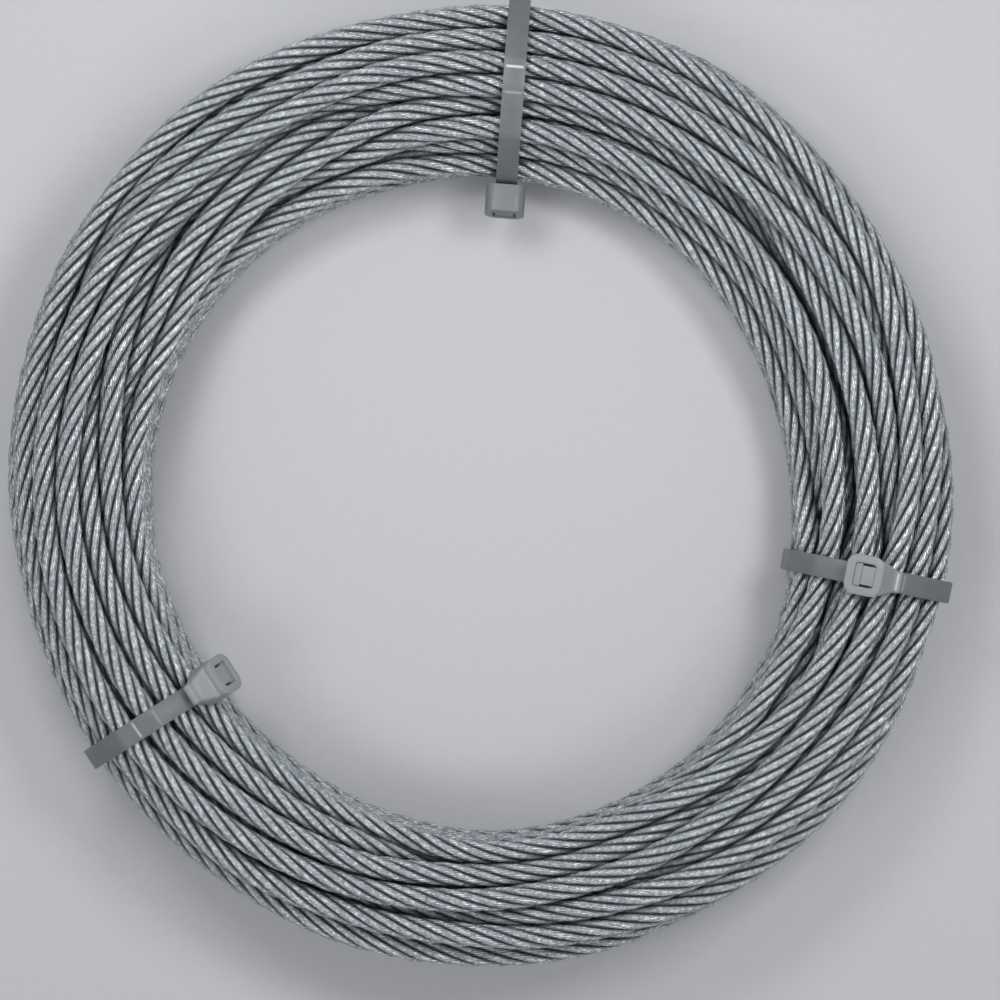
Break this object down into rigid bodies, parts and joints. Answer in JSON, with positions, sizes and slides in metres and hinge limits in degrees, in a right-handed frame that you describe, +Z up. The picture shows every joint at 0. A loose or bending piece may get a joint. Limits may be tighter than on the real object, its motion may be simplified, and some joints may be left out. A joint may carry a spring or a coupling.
{
  "type": "coil of wire rope",
  "caption": "Round coil of thin galvanised stranded steel wire rope lying flat, bound with small natural nylon cable ties trimmed flush.",
  "frame": {"origin": "on the coil's axis, level with the undersides of the ties that it rests on", "axes": "+Z up along the coil's axis; +X to the right and +Y to the top as in the picture, which looks down on it"},
  "size_m": [0.118, 0.119, 0.0209],
  "materials": {
    "galvanised_steel": "bright zinc on twisted wires, satin",
    "nylon": "natural translucent nylon, semi-gloss"
  },
  "bodies": {
    "root": {"rope_coil": "galvanised_steel", "cable_tie_1": "nylon", "cable_tie_2": "nylon", "cable_tie_3": "nylon"}
  },
  "joints": []
}
